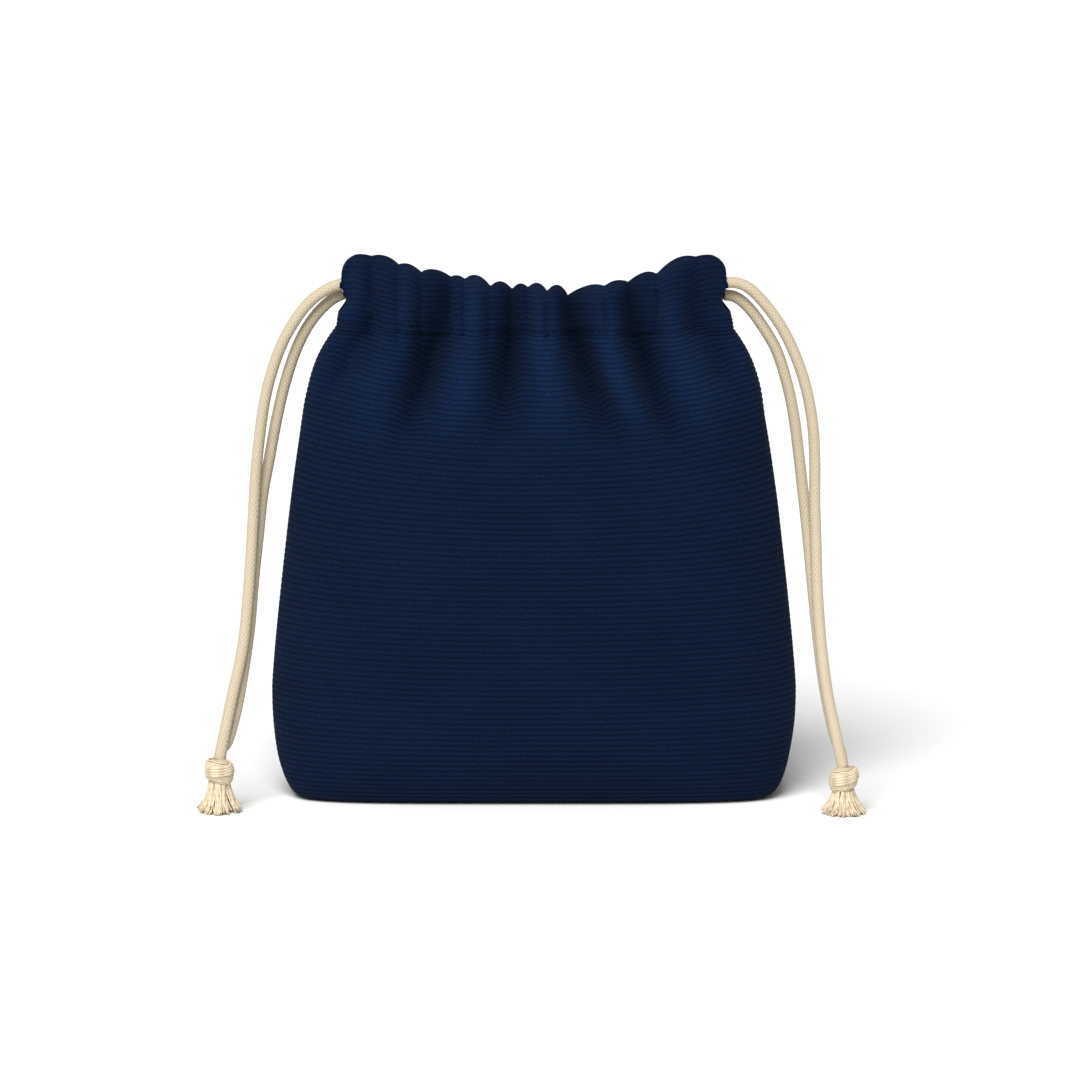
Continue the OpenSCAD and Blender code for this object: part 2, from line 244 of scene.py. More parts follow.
class PouchSizes(bpy.types.PropertyGroup):
    rib_pitch: bpy.props.FloatProperty(
        name="Rib pitch", description="Distance from one rib of the cloth to the next",
        default=0.0024, min=0.001, max=0.006, unit="LENGTH", precision=4,
    )
    rib_depth: bpy.props.FloatProperty(
        name="Rib depth", description="Depth of the groove between two ribs",
        default=0.00038, min=0, max=0.001, unit="LENGTH", precision=5,
    )
    cloth_thickness: bpy.props.FloatProperty(
        name="Cloth thickness", description="Thickness of the ribbed cotton",
        default=0.0009, min=0.0003, max=0.002, unit="LENGTH", precision=4,
    )
    gather_depth: bpy.props.FloatProperty(
        name="Gather depth", description="How deep the gathers are, as a share of the real ones",
        default=1.0, min=0, max=1.5, subtype="FACTOR",
    )
    crest_puff: bpy.props.FloatProperty(
        name="Crest puff", description="How far the crests of the gathers stand out",
        default=0.0046, min=0, max=0.008, unit="LENGTH", precision=4,
    )
    cord_diameter: bpy.props.FloatProperty(
        name="Cord diameter", description="Diameter of the cotton rope",
        default=0.005, min=0.003, max=0.008, unit="LENGTH", precision=4,
    )
    strand_diameter: bpy.props.FloatProperty(
        name="Strand diameter", description="Diameter of one strand of the knots and frayed ends",
        default=0.0012, min=0.0005, max=0.002, unit="LENGTH", precision=4,
    )
    thread_diameter: bpy.props.FloatProperty(
        name="Thread diameter", description="Diameter of the sewing thread",
        default=0.00045, min=0.0002, max=0.001, unit="LENGTH", precision=5,
    )
    stitch_length: bpy.props.FloatProperty(
        name="Stitch length", description="Length of one stitch along the casing",
        default=0.0028, min=0.001, max=0.005, unit="LENGTH", precision=4,
    )


class PouchColours(bpy.types.PropertyGroup):
    rib: bpy.props.FloatVectorProperty(
        name="Rib", description="Colour of the tops of the ribs",
        default=linear("#0d1f3c"), size=3, min=0, max=1, subtype="COLOR",
    )
    # The groove colour, darker than the rib colour, is painted shade between the ribs
    groove: bpy.props.FloatVectorProperty(
        name="Groove", description="Colour of the cloth between the ribs",
        default=linear("#081429"), size=3, min=0, max=1, subtype="COLOR",
    )
    thread: bpy.props.FloatVectorProperty(
        name="Thread", description="Colour of the sewing thread",
        default=linear("#071630"), size=3, min=0, max=1, subtype="COLOR",
    )
    cord: bpy.props.FloatVectorProperty(
        name="Cord", description="Colour of the natural cotton rope",
        default=linear("#ccbea4"), size=3, min=0, max=1, subtype="COLOR",
    )
    # cord_shade is painted shade: the darker colour of the lines between the rope's strands
    cord_shade: bpy.props.FloatVectorProperty(
        name="Cord shade", description="Colour of the rope between its strands",
        default=linear("#a08c69"), size=3, min=0, max=1, subtype="COLOR",
    )


def sizes():
    return bpy.context.scene.pouch_sizes


def colours():
    return bpy.context.scene.pouch_colours


# ---- Shape of the cloth, in millimetres ----


def lower_swell(z):
    """Swelling from the base, 0, to the belly, 1."""
    return (1 - (1 - share(z / BELLY_H)) ** 2.2) ** 0.6


def upper_share(z):
    return share((z - BELLY_H) / (PANEL_H - BELLY_H))


def half_width(z):
    if z < BELLY_H:
        return lerp(BASE_W, POUCH_W, lower_swell(z)) / 2
    s = share((z - BELLY_H) / (NECK_Z - BELLY_H))
    return lerp(NECK_W, POUCH_W, (1 - 0.57 * s**1.2) * (1 - s**9.5)) / 2


def casing_half_width(z):
    """The casing goes on narrowing up to the neck, then widens into the ears."""
    return half_width(min(z, NECK_Z)) + (EAR_X - NECK_W / 2) * smooth((z - NECK_Z) / 13)


def half_depth(z):
    if z < BELLY_H:
        return lerp(BASE_D, POUCH_D, lower_swell(z)) / 2
    return lerp(COLLAR_D, POUCH_D, 1 - upper_share(z) ** 3.2) / 2


def squareness(z):
    """2 is an ellipse, and a larger number is a squarer outline."""
    if z < BELLY_H:
        return lerp(5, 2.2, (z / BELLY_H) ** 0.6)
    return lerp(2.2, 8, upper_share(z) ** 6)


def base_inset(z):
    """How far the cloth turns in under the pouch near the base."""
    if z >= BASE_ROUND:
        return 0
    return BASE_ROUND - math.sqrt(BASE_ROUND**2 - (BASE_ROUND - z) ** 2)


def front_outline(z, columns):
    """Points from the left side, round the front, to the right, evenly spaced, with the
    direction that faces outwards at each: a list of (x, y, nx, ny)."""
    samples = 4 * columns
    power = 2 / squareness(z)
    across, along = half_width(z) - base_inset(z), half_depth(z) - base_inset(z)
    points = []
    for i in range(samples + 1):
        turn = math.pi * i / samples
        c, s = -math.cos(turn), -math.sin(turn)
        points.append(Vector((
            across * math.copysign(abs(c) ** power, c),
            -along * abs(s) ** power if 0 < i < samples else 0,
        )))
    run = [0.0]
    for a, b in zip(points, points[1:]):
        run.append(run[-1] + (b - a).length)
    even, k = [], 0
    for column in range(columns + 1):
        at = run[-1] * column / columns
        while k < samples - 1 and run[k + 1] < at:
            k += 1
        even.append(points[k].lerp(points[k + 1], (at - run[k]) / (run[k + 1] - run[k])))
    outline = []
    for column, p in enumerate(even):
        ahead = even[min(column + 1, columns)] - even[max(column - 1, 0)]
        facing = Vector((ahead.y, -ahead.x)).normalized()
        outline.append((p.x, p.y, facing.x, facing.y))
    return outline


def climb_table():
    """Height at each millimetre of cloth from the base edge up to the casing."""
    table, z, climbed = [0.0], 0.0, 0.0
    step = 0.1
    while z < PANEL_H:
        rise = half_depth(z + step) - half_depth(z)
        climbed += math.hypot(step, rise)
        z += step
        while climbed >= len(table):
            table.append(z)
    return table + [PANEL_H]


OUTLINES = [front_outline(z, COLUMNS) for z in range(NECK_Z + 1)]
CLIMB = climb_table()
CLOTH_H = len(CLIMB) - 1


def outline_at(z, across):
    """Interpolates OUTLINES: across runs from 0 at the left side to 1 at the right."""
    z = max(0.0, min(float(NECK_Z), z))
    row = min(int(z), NECK_Z - 1)
    column = min(int(across * COLUMNS), COLUMNS - 1)
    up, over = z - row, across * COLUMNS - column
    corner = OUTLINES[row][column], OUTLINES[row][column + 1]
    above = OUTLINES[row + 1][column], OUTLINES[row + 1][column + 1]
    return [
        lerp(lerp(corner[0][k], corner[1][k], over), lerp(above[0][k], above[1][k], over), up)
        for k in range(4)
    ]


def valley_place(valley, z):
    """Where a valley runs across the pouch at height z."""
    t = share((RIM_H - z) / (RIM_H - valley.low_z))
    return (1 - t) ** 2 * valley.rim_x + 2 * t * (1 - t) * valley.middle_x + t * t * valley.low_x


def valley_depth(valley, z):
    """A valley is deepest a little under the casing, and flat where it wraps the cords."""
    fade = smooth((z - valley.low_z) / (VALLEYS_START_Z - valley.low_z))
    on_cords = smooth((z - PANEL_H + 6) / 10)
    return valley.depth * fade * (1 - on_cords)


def ridge_at(x, z):
    """The valleys on both sides of x at height z, and how far x is up the ridge between
    them, from 0 in a valley to 1 on the crest."""
    places = [valley_place(valley, z) for valley in VALLEYS]
    for i in range(len(VALLEYS) - 1):
        if places[i] <= x < places[i + 1]:
            t = (x - places[i]) / (places[i + 1] - places[i])
            return VALLEYS[i], VALLEYS[i + 1], t, math.sin(math.pi * t) ** 1.25
    return VALLEYS[0], VALLEYS[0], 0.0, 0.0


def ridges(x, z):
    """How far the large ridges and valleys move the cloth out at x and z."""
    if z < RIDGES_END_Z:
        return 0.0
    left, right, t, climb = ridge_at(x, z)
    depth = lerp(valley_depth(left, z), valley_depth(right, z), t)
    rise = left.ridge * smooth((z - RIDGES_END_Z) / (VALLEYS_START_Z - RIDGES_END_Z))
    return lerp(-depth, rise, climb * lerp(1, climb, smooth((z - 196) / 10)))


def painted_fold_shading(x, z):
    """Painted shade and painted highlight in the cloth's colour, on top of what the light does: under 1 it
    is painted shade in the valleys, and over 1 a painted highlight on the ridges and, a little, over the
    upper cloth."""
    if z < RIDGES_END_Z:
        return 1.0
    left, right, t, climb = ridge_at(x, z)
    depth = lerp(left.depth, right.depth, t) / 7
    start_z = lerp(left.low_z, right.low_z, t)
    below = smooth((z - start_z) / 45)
    above = 1 - 0.55 * smooth((z - 212) / 14)
    high = smooth((z - RIDGES_END_Z) / 40)
    dark = 0.6 * min(1, depth) * below * above * (1 - climb) ** 0.8
    light = 0.6 * high * (left.ridge / 6.5 * climb**2 * (1 - 0.6 * smooth((z - 205) / 20)) + 0.12)
    return 1 - dark + light


def pucker_at(x):
    """The creases on both sides of x and how far x lies from the left one to the right. Past
    the outermost creases it gives the last pair."""
    for left, right in zip(PUCKERS, PUCKERS[1:]):
        if left.x <= x < right.x:
            return left, right, (x - left.x) / (right.x - left.x)
    return PUCKERS[-2], PUCKERS[-1], 0.0 if x < 0 else 1.0


def pucker(x, z):
    """How far the puckers of the casing stand out between their creases."""
    left, right, t = pucker_at(x)
    width = right.x - left.x
    strength = smooth((z - PUCKERS_END_Z) / (RIM_H - PUCKERS_END_Z - 12))
    rise = sizes().crest_puff / MM * smooth((width + 3) / 16)
    return strength * rise * (math.sin(math.pi * t) ** 0.7 - 0.3)


def gather(x, z):
    """How far the cloth stands out at x and z, and into the pouch where it is negative."""
    bump_x, bump_z = (x - SWELLING_X) / SWELLING_REACH_X, (z - SWELLING_Z) / SWELLING_REACH_Z
    swelling = SWELLING_OUT * math.exp(-bump_x**2 - bump_z**2)
    folds = ridges(x, z) + pucker(x, z)
    return swelling + folds * sizes().gather_depth


def rim_height(x):
    """Height of the rim over the puckers, which drops at the outer end of each ear."""
    drop = EAR_DROP * (1 - math.sqrt(1 - share((abs(x) - EAR_TOP_X) / (EAR_X - EAR_TOP_X)) ** 2))
    left, right, t = pucker_at(x)
    crest = left.crest_z - (left.z + right.z) / 2
    return lerp(left.z, right.z, t) + crest * math.sin(math.pi * t) ** 0.75 - drop


def foot_lift(x):
    return FOOT_RISE * min(1, abs(x) / (MOUTH_W / 2)) ** 3


def row_lift(x, z):
    """The rows of ribs smile: they lift towards the side seams in the upper half."""
    low = 60
    u = share((z - low) / (PANEL_H - low))
    hump = u**3 * (1 - u) / 0.105
    return foot_lift(x) * (z / PANEL_H) ** 8 + 8 * hump * (abs(x) / 95) ** 2.2


def edge_fade(across):
    """1 over the panel, and 0 on its side seams."""
    return smooth(min(across, 1 - across) / 0.035)


def cloth_point(across, climb, side, out_more=0):
    """A point of the front cloth, side -1, or the back, side 1, at a climb in millimetres of
    cloth from the base edge. out_more moves it out past its gathers."""
    step = min(int(climb), CLOTH_H - 1)
    z_row = lerp(CLIMB[step], CLIMB[step + 1], climb - step)
    x = outline_at(z_row, across)[0]
    z = z_row + row_lift(x, z_row)
    x, y, facing_x, facing_y = outline_at(z, across)
    out = gather(x, z) * edge_fade(across)
    unevenness = noise.noise(Vector((x / 42, z / 30, side)))
    out += unevenness * edge_fade(across) * smooth(z / 25) * smooth((PANEL_H - z) / 30)
    sag = 0.7 * min(0, out)
    out += out_more
    return Vector((x + facing_x * out, -side * (y + facing_y * out), z + sag))


def panel_point(across, up, side, rib_count):
    """A point of a panel, up from 0 at the base edge to 1 at the casing, with its ribs."""
    from_groove = abs(up * rib_count - round(up * rib_count))
    groove = 0 if up in (0, 1) else smooth(1 - 4 * from_groove)
    return cloth_point(across, up * CLOTH_H, side, -groove * sizes().rib_depth / MM)


def hem_rim(x, side):
    """The back rim stands a little lower than the front one in the middle."""
    lower = BACK_RIM_DROP * (1 - smooth((abs(x) - 50) / 22)) if side > 0 else 0
    return rim_height(x) - lower


def hem_turn(up):
    """Where a row of the casing lies round the hem, for casing_point: nearly half of its
    cloth is outside, a sixth goes over the rim and the rest is inside."""
    outside, over = 0.46, 0.16
    if up < outside:
        return up / outside
    if up < outside + over:
        return 1 + (up - outside) / over
    return 2 + (up - outside - over) / (1 - outside - over)


def casing_point(across, round_hem, side):
    """A point of the casing. round_hem runs from 0 at the stitches, up the outside to 1,
    over the rim to 2 and down the inside to 3."""
    foot = cloth_point(across, CLOTH_H, side)
    x, y, _, _ = outline_at(PANEL_H, across)
    up = share(round_hem)
    in_ear = smooth((abs(x) - 62) / 16)
    cap = lerp(5, 4, in_ear)
    cap_z = hem_rim(x * EAR_X / half_width(PANEL_H), side)
    z_out = lerp(foot.z, cap_z - cap, up)
    x *= casing_half_width(z_out) / half_width(PANEL_H)
    eye = 6.6 * max(0, 1 - ((z_out - EYE_Z) / 9.5) ** 2) ** 0.45
    at_end = smooth((abs(x) - 71) / (EAR_X - 71))
    round_cords = max(-y + gather(x, lerp(PANEL_H, RIM_H, up)) * edge_fade(across), 10.4)
    y_out = lerp(round_cords, max(eye, 0.6), at_end)
    joined = smooth(up / lerp(0.3, 0.6, in_ear))
    y_out = lerp(abs(foot.y), y_out, joined)
    y_in = lerp(HEM_LAYER_Y + 0.5 * math.sin(x * 0.8), 0.03, smooth((abs(x) - 60) / 8))
    y_out = max(y_out, (y_in + 0.4) * joined)
    x = lerp(foot.x, x, joined)
    if round_hem <= 1:
        return Vector((x, side * y_out, z_out))
    if round_hem <= 2:
        turn = math.pi * (round_hem - 1)
        middle, reach = (y_out + y_in) / 2, (y_out - y_in) / 2
        z_over = lerp(z_out, cap_z, math.sin(turn))
        return Vector((x, side * (middle + reach * math.cos(turn)), z_over))
    full = 1 - smooth((abs(x) - 58) / 8)
    down = (round_hem - 2) * lerp(0.05, 1, full)
    return Vector((x, side * y_in, lerp(z_out, PANEL_H + foot_lift(x) + 1.5, down)))


# ---- Mesh helpers ----


def finished(name, bm, material, smooth_faces=True):
    """Turns a bmesh in metres into an object with its material and material slot."""
    mesh = bpy.data.meshes.new(name)
    bm.to_mesh(mesh)
    bm.free()
    piece = bpy.data.objects.new(name, mesh)
    bpy.context.scene.collection.objects.link(piece)
    mesh.materials.append(material)
    for face in mesh.polygons:
        face.use_smooth = smooth_faces
    return piece


def columns_of(bm, columns):
    """The points of a flat grid, column by column, each from the bottom up."""
    stacks = [[] for _ in range(columns + 1)]
    for vert in bm.verts:
        stacks[round((vert.co.x + 0.5) * columns)].append((vert.co.y, vert))
    return [[vert for _, vert in sorted(stack, key=lambda pair: pair[0])] for stack in stacks]


def cloth_sheet(place, columns, rows, width, height, turned):
    """A grid laid on place(across, up), with UVs in metres of flat cloth. Without a height
    the rows are measured on the cloth itself."""
    bm = bmesh.new()
    bmesh.ops.create_grid(bm, x_segments=columns, y_segments=rows, size=0.5)
    uv = bm.loops.layers.uv.new("cloth")
    fold_shading = bm.verts.layers.float.new("fold_shading")
    stacks = columns_of(bm, columns) if height is None else []
    for face in bm.faces:
        for loop in face.loops:
            co = loop.vert.co
            up = 0 if height is None else (co.y + 0.5) * height * MM
            loop[uv].uv = (co.x * width * MM, up)
    for vert in bm.verts:
        vert.co = place(vert.co.x + 0.5, vert.co.y + 0.5) * MM
        # Each point keeps the painted shade of the fold valleys and the painted highlight of the ridges, for
        # the cloth colour
        vert[fold_shading] = painted_fold_shading(vert.co.x / MM, vert.co.z / MM)
    for stack in stacks:
        climbed = 0.0
        for below, vert in zip([stack[0]] + stack, stack):
            climbed += (vert.co - below.co).length
            for loop in vert.link_loops:
                loop[uv].uv.y = climbed
    if turned:
        bmesh.ops.reverse_faces(bm, faces=bm.faces)
    return bm


def thicken(piece, thickness, offset=-1):
    modifier = piece.modifiers.new("Cloth thickness", "SOLIDIFY")
    modifier.thickness = thickness
    modifier.offset = offset
    modifier.use_even_offset = False


def smooth_route(points, step):
    """A smooth line through points, with its own points about step apart."""
    points = [Vector(p) for p in points]
    ends = [2 * points[0] - points[1]] + points + [2 * points[-1] - points[-2]]
    line = []
    for i in range(1, len(ends) - 2):
        p0, p1, p2, p3 = ends[i - 1 : i + 3]
        count = max(1, round((p2 - p1).length / step))
        for k in range(count):
            t = k / count
            line.append(0.5 * (
                2 * p1 + (p2 - p0) * t
                + (2 * p0 - 5 * p1 + 4 * p2 - p3) * t * t
                + (3 * p1 - p0 - 3 * p2 + p3) * t**3
            ))
    return line + [points[-1]]


def sweep(bm, line, radius, sides, taper=None, relief=None):
    """Extrudes a ring along a line in millimetres. taper(t) scales it, and relief(turn, run)
    moves its surface out. UVs run round the tube and along it, in metres."""
    uv = bm.loops.layers.uv.get("UVMap") or bm.loops.layers.uv.new("UVMap")
    ahead = (line[1] - line[0]).normalized()
    across = ahead.orthogonal().normalized()
    ring, run = None, 0.0
    for i, centre in enumerate(line):
        here = (line[min(i + 1, len(line) - 1)] - line[max(i - 1, 0)]).normalized()
        across = (across - here * across.dot(here)).normalized()
        other = here.cross(across)
        if i:
            run += (centre - line[i - 1]).length
        scale = taper(i / (len(line) - 1)) if taper else 1
        if ring is None:
            made = bmesh.ops.create_circle(bm, segments=sides, radius=1, cap_ends=True)
            ring = made["verts"]
        else:
            edges = [bm.edges.get((ring[k], ring[(k + 1) % sides])) for k in range(sides)]
            made = bmesh.ops.extrude_edge_only(bm, edges=edges)
            new = {v for v in made["geom"] if isinstance(v, bmesh.types.BMVert)}
            follow = [next(e.other_vert(v) for e in v.link_edges if e.other_vert(v) in new)
                      for v in ring]
            for k in range(sides):
                face = next(f for f in ring[k].link_faces
                            if follow[k] in f.verts and ring[(k + 1) % sides] in f.verts)
                for loop in face.loops:
                    on_new = loop.vert in new
                    corner = (follow if on_new else ring).index(loop.vert)
                    turn = k + (0 if corner == k else 1)
                    at = run if on_new else run - (centre - line[i - 1]).length
                    loop[uv].uv = (turn / sides * math.tau * radius * MM, at * MM)
            ring = follow
        for k, vert in enumerate(ring):
            turn = math.tau * k / sides
            reach = radius * scale + (relief(turn, run) if relief else 0)
            vert.co = (centre + reach * (math.cos(turn) * across + math.sin(turn) * other)) * MM
    bmesh.ops.contextual_create(bm, geom=ring)


def drawn_in_ends(t):
    """The thickness of a strand along its length, as a share: its ends are drawn in."""
    return min(1, 0.35 + 6 * t, 0.35 + 6 * (1 - t))


# ---- Materials ----


def add_node(tree, kind, settings=None, **links):
    """Adds a node. settings are its own settings, and links are values or outputs by input."""
    node = tree.nodes.new(kind)
    for name, value in (settings or {}).items():
        setattr(node, name, value)
    for name, value in links.items():
        key = int(name[1:]) if name[0] == "_" else name.replace("_", " ")
        socket = node.inputs[key]
        if isinstance(value, bpy.types.NodeSocket):
            tree.links.new(value, socket)
        else:
            socket.default_value = value
    return node


def ramp_node(tree, fac, stops):
    node = add_node(tree, "ShaderNodeValToRGB", Fac=fac)
    elements = node.color_ramp.elements
    while len(elements) < len(stops):
        elements.new(0.5)
    for element, (place, colour) in zip(elements, stops):
        element.position = place
        element.color = (*colour, 1)
    return node


def new_material(name):
    material = bpy.data.materials.new(name)
    material.use_nodes = True
    tree = material.node_tree
    return material, tree, tree.nodes["Principled BSDF"]


def rib_woven_cotton():
    """Rib-woven cotton, piece-dyed: matt, with a pebble of yarn over each rib. Its colour carries painted
    shade in the grooves and in the gaps of the weave, a painted highlight on the soft-lit rib tops and
    raised yarn, and painted shade and highlight over the folds. Fine fuzz lightens it where it turns away."""
    material, tree, shader = new_material("Rib-woven cotton, dyed navy")
    pitch = sizes().rib_pitch
    yarn = 0.00145
    uv = add_node(tree, "ShaderNodeUVMap", {"uv_map": "cloth"})
    drift = add_node(tree, "ShaderNodeTexNoise", Vector=uv.outputs[0], Scale=650.0, Detail=1.0)
    drift_centre = add_node(tree, "ShaderNodeVectorMath", {"operation": "SUBTRACT"},
                            _0=drift.outputs["Color"], _1=(0.5, 0.5, 0.5))
    drift_size = add_node(tree, "ShaderNodeVectorMath", {"operation": "MULTIPLY_ADD"},
                          _0=drift_centre.outputs[0], _1=(0.0016, 0.0011, 0.0),
                          _2=uv.outputs[0])
    weave = add_node(tree, "ShaderNodeTexBrick", {"offset": 0.5, "squash": 1.0},
                     Vector=drift_size.outputs[0], Scale=1.0, Mortar_Size=0.00022,
                     Mortar_Smooth=1.0, Brick_Width=yarn, Row_Height=pitch)
    weave.inputs["Color1"].default_value = (1, 1, 1, 1)
    weave.inputs["Color2"].default_value = (0.72, 0.72, 0.72, 1)
    weave.inputs["Mortar"].default_value = (0, 0, 0, 1)
    pebble = add_node(tree, "ShaderNodeTexNoise", Vector=uv.outputs[0], Scale=1100.0, Detail=2.0)
    cloud = add_node(tree, "ShaderNodeTexNoise", Vector=uv.outputs[0], Scale=22.0, Detail=2.0)
    parts = add_node(tree, "ShaderNodeSeparateXYZ", Vector=drift_size.outputs[0])
    phase = add_node(tree, "ShaderNodeMath", {"operation": "MULTIPLY"},
                     _0=parts.outputs["Y"], _1=math.tau / pitch)
    wave = add_node(tree, "ShaderNodeMath", {"operation": "COSINE"}, _0=phase.outputs[0])
    rib = add_node(tree, "ShaderNodeMapRange", {"interpolation_type": "SMOOTHSTEP"},
                   Value=wave.outputs[0], From_Min=0.95, From_Max=-0.2)
    lit = add_node(tree, "ShaderNodeMath", {"operation": "MULTIPLY_ADD"},
                   _0=pebble.outputs["Fac"], _1=0.9, _2=-0.35)
    both = add_node(tree, "ShaderNodeMath", {"operation": "MULTIPLY_ADD"},
                    _0=weave.outputs["Color"], _1=0.35, _2=lit.outputs[0])
    tone = add_node(tree, "ShaderNodeMath", {"operation": "MULTIPLY", "use_clamp": True},
                    _0=both.outputs[0], _1=rib.outputs[0])
    # The colour follows the height of the ribs, weave and pebble: painted shade in the grooves and gaps,
    # painted highlight on the raised yarn
    colour = ramp_node(tree, tone.outputs[0], [
        (0.0, colours().groove), (0.75, colours().rib)])
    uneven = add_node(tree, "ShaderNodeMapRange", Value=cloud.outputs["Fac"],
                      From_Min=0.3, From_Max=0.7, To_Min=0.9, To_Max=1.08)
    tint = add_node(tree, "ShaderNodeVectorMath", {"operation": "SCALE"},
                    _0=colour.outputs["Color"], Scale=uneven.outputs[0])
    # Painted shade in the fold valleys and painted highlight on the ridges, kept per point, scale the colour
    fold_shading = add_node(tree, "ShaderNodeAttribute", {"attribute_name": "fold_shading"})
    shaded = add_node(tree, "ShaderNodeVectorMath", {"operation": "SCALE"},
                      _0=tint.outputs[0], Scale=fold_shading.outputs["Fac"])
    tree.links.new(shaded.outputs[0], shader.inputs["Base Color"])
    height = add_node(tree, "ShaderNodeMath", {"operation": "MULTIPLY_ADD"},
                      _0=weave.outputs["Color"], _1=0.8, _2=pebble.outputs["Fac"])
    bump = add_node(tree, "ShaderNodeBump", Height=height.outputs[0], Strength=0.7,
                    Distance=0.0006)
    tree.links.new(bump.outputs[0], shader.inputs["Normal"])
    shader.inputs["Roughness"].default_value = 0.88
    shader.inputs["Specular IOR Level"].default_value = 0.03
    shader.inputs["Sheen Weight"].default_value = 0.04
    shader.inputs["Sheen Roughness"].default_value = 0.5
    shader.inputs["Sheen Tint"].default_value = (*linear("#9fb2d4"), 1)
    return material


def spun_thread():
    """Spun polyester sewing thread: a fine twist with a faint gloss."""
    material, tree, shader = new_material("Spun polyester thread, navy")
    uv = add_node(tree, "ShaderNodeUVMap", {"uv_map": "UVMap"})
    twist = add_node(tree, "ShaderNodeTexWave", {"bands_direction": "DIAGONAL"},
                     Vector=uv.outputs[0], Scale=420.0)
    # The colour follows the twist: painted shade in its grooves, painted highlight on its strands
    colour = ramp_node(tree, twist.outputs["Fac"], [
        (0.1, [c * 0.6 for c in colours().thread]), (0.9, [c * 1.4 for c in colours().thread])])
    tree.links.new(colour.outputs["Color"], shader.inputs["Base Color"])
    bump = add_node(tree, "ShaderNodeBump", Height=twist.outputs["Fac"], Strength=0.4,
                    Distance=0.0001)
    tree.links.new(bump.outputs[0], shader.inputs["Normal"])
    shader.inputs["Roughness"].default_value = 0.8
    shader.inputs["Specular IOR Level"].default_value = 0.05
    return material


def cotton_fibre(name, line_scale, contrast, lightness):
    """Natural cotton, twisted or braided: matt cream, with painted shade in the darker lines between its
    yarns.
    """
    material, tree, shader = new_material(name)
    uv = add_node(tree, "ShaderNodeUVMap", {"uv_map": "UVMap"})
    yarns = [
        add_node(tree, "ShaderNodeTexWave", {"bands_direction": "DIAGONAL"},
                 Vector=add_node(tree, "ShaderNodeMapping", Vector=uv.outputs[0],
                                 Scale=(1.0, lean, 1.0)).outputs[0],
                 Scale=line_scale, Distortion=1.5, Detail=1.0)
        for lean in (0.62, -0.62)
    ]
    braid = add_node(tree, "ShaderNodeMath", {"operation": "MAXIMUM"},
                     _0=yarns[0].outputs["Fac"], _1=yarns[1].outputs["Fac"])
    fibre = add_node(tree, "ShaderNodeTexNoise", Vector=uv.outputs[0], Scale=2600.0, Detail=2.0)
    cloud = add_node(tree, "ShaderNodeTexNoise", Vector=uv.outputs[0], Scale=120.0, Detail=1.0)
    height = add_node(tree, "ShaderNodeMath", {"operation": "MULTIPLY_ADD"},
                      _0=fibre.outputs["Fac"], _1=0.5, _2=braid.outputs[0])
    sum_of_all = add_node(tree, "ShaderNodeMath", {"operation": "MULTIPLY_ADD"},
                          _0=cloud.outputs["Fac"], _1=0.5, _2=height.outputs[0])
    tone = add_node(tree, "ShaderNodeMath", {"operation": "MULTIPLY"},
                    _0=sum_of_all.outputs[0], _1=0.6)
    # The colour follows the height of the braid and fibres: shade is painted shade in the lines between the
    # yarns
    light = [c * lightness for c in colours().cord]
    shade = [lerp(c, s * lightness, contrast) for c, s in zip(light, colours().cord_shade)]
    colour = ramp_node(tree, tone.outputs[0], [(0.4, shade), (0.85, light)])
    tree.links.new(colour.outputs["Color"], shader.inputs["Base Color"])
    bump = add_node(tree, "ShaderNodeBump", Height=height.outputs[0], Strength=0.5,
                    Distance=0.0003)
    tree.links.new(bump.outputs[0], shader.inputs["Normal"])
    shader.inputs["Roughness"].default_value = 0.9
    shader.inputs["Specular IOR Level"].default_value = 0.2
    shader.inputs["Sheen Weight"].default_value = 0.15
    return material


def material_once(name, make):
    return bpy.data.materials.get(name) or make()


def cloth_material():
    return material_once("Rib-woven cotton, dyed navy", rib_woven_cotton)


def thread_material():
    return material_once("Spun polyester thread, navy", spun_thread)


def rope_material():
    name = "Cotton rope, braided, natural"
    return material_once(name, lambda: cotton_fibre(name, 430.0, 0.42, 0.96))


def fray_material():
    name = "Cotton strands, combed out, natural"
    return material_once(name, lambda: cotton_fibre(name, 180.0, 0.5, 1.24))


# ---- How the cloth follows the drawcords ----


def draw_with_mouth(piece):
    """The left end of the mouth follows the right drawcord and the right end the left one,
    so that it closes from both ends. Low down the two cancel out and the cloth stays put."""
    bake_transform(piece, "right_drawcord", "left_drawcord",
             start=(-EAR_X * MM, 0, RIM_H * MM), end=(EAR_X * MM, 0, RIM_H * MM))
    weights = piece.data.attributes["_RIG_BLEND"].data
    for vert, weight in zip(piece.data.vertices, weights):
        across = share(vert.co.x / MM / (2 * EAR_X) + 0.5)
        strength = smooth((vert.co.z / MM - DRAW_START_Z) / (PANEL_H - DRAW_START_Z))
        weight.value = 0.5 + (across - 0.5) * strength


# ---- Pieces ----


def make_tail(name, node, body, drawcord, route):
    line = smooth_route(route, 0.8)
    radius = sizes().cord_diameter / MM / 2
    bm = bmesh.new()
    sweep(bm, line, radius, 16, relief=braid_relief)
    piece = finished(name, bm, rope_material())
    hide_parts(node)
    start = line[0]
    bend = Vector((math.copysign(TAIL_BEND_X, start.x), 0, TAIL_BEND_Z))
    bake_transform(piece, drawcord, body, start=start * MM, end=(start + bend) * MM)
    return piece


def braid_relief(turn, run):
    """The crossing strands of a braid stand out from the rope, in millimetres."""
    braid_pitch = 4.2
    lean = math.tau * run / braid_pitch
    return 0.06 * math.sin(4 * turn + lean) * math.sin(4 * turn - lean) - 0.03


def lane_rise(x):
    """The smile of the casing that both lanes follow towards the right ear."""
    return (RAISED_BEND_Z - UPPER_LANE_Z) * (max(0, x) / BEND_X) ** 2.2


